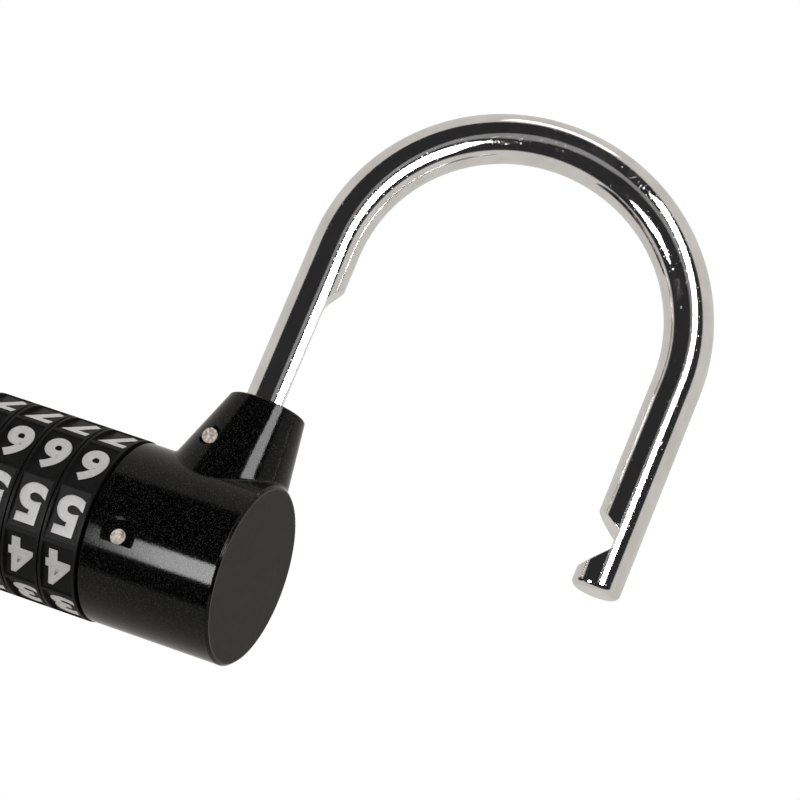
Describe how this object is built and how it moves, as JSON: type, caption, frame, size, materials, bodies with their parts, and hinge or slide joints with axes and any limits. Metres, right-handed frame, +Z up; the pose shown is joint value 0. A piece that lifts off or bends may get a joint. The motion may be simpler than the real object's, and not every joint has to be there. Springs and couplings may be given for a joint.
{
  "type": "combination padlock",
  "caption": "Round-barrel combination padlock, standing open: number dials between two end caps, and a wide round shackle that lifts, swivels and drops back to lock.",
  "frame": {"origin": "centre of the heel end face, on the barrel's axis", "axes": "+X along the barrel to the toe end, +Z up to the shackle, front with the code line faces -Y"},
  "size_m": [0.0938, 0.029, 0.0768],
  "materials": {
    "black_paint": "gloss black paint with fine flakes",
    "grey_disc": "satin dark grey",
    "chrome": "polished",
    "pin_steel": "cut steel",
    "black_plastic": "matte black",
    "zinc": "as cast",
    "spring_steel": "drawn",
    "brass": "turned"
  },
  "bodies": {
    "barrel": {"heel_cap": "black_paint", "toe_cap": "black_paint", "heel_end_disc": "grey_disc", "toe_end_disc": "grey_disc", "core_tube": "zinc", "heel_core_pin": "pin_steel", "toe_core_pin": "pin_steel", "neck_pin": "pin_steel", "spindle_spring": "spring_steel", "click_spring": "spring_steel", "dial_washers": "spring_steel"},
    "bush": {"swivel_bush": "brass"},
    "shackle": {"shackle": "chrome"},
    "spindle": {"spindle": "zinc", "latch_nose": "pin_steel"},
    "number_1": {"dial_1": "black_plastic", "code_hub_1": "brass"},
    "number_2": {"dial_2": "black_plastic", "code_hub_2": "brass"},
    "number_3": {"dial_3": "black_plastic", "code_hub_3": "brass"},
    "number_4": {"dial_4": "black_plastic", "code_hub_4": "brass"}
  },
  "joints": [
    {"name": "shackle_swivel", "type": "hinge", "parent": "barrel", "child": "bush", "pos_m": [0.0064, 0, 0.0156], "axis": [0, 0, 1], "continuous": true},
    {"name": "shackle_lift", "type": "slide", "parent": "bush", "child": "shackle", "axis": [0, 0, 1], "range_m": [-0.0196, 0]},
    {"name": "spindle_slide", "type": "slide", "parent": "barrel", "child": "spindle", "axis": [1, 0, 0], "range_m": [-0.0024, 0], "stiffness_N_per_m": 400, "springref_m": 0.003, "deforming": ["spindle_spring"]},
    {"name": "dial_1_turn", "type": "hinge", "parent": "barrel", "child": "number_1", "pos_m": [0.0199, 0, 0], "axis": [1, 0, 0], "continuous": true},
    {"name": "dial_2_turn", "type": "hinge", "parent": "barrel", "child": "number_2", "pos_m": [0.0249, 0, 0], "axis": [1, 0, 0], "continuous": true},
    {"name": "dial_3_turn", "type": "hinge", "parent": "barrel", "child": "number_3", "pos_m": [0.0299, 0, 0], "axis": [1, 0, 0], "continuous": true},
    {"name": "dial_4_turn", "type": "hinge", "parent": "barrel", "child": "number_4", "pos_m": [0.0349, 0, 0], "axis": [1, 0, 0], "continuous": true}
  ]
}
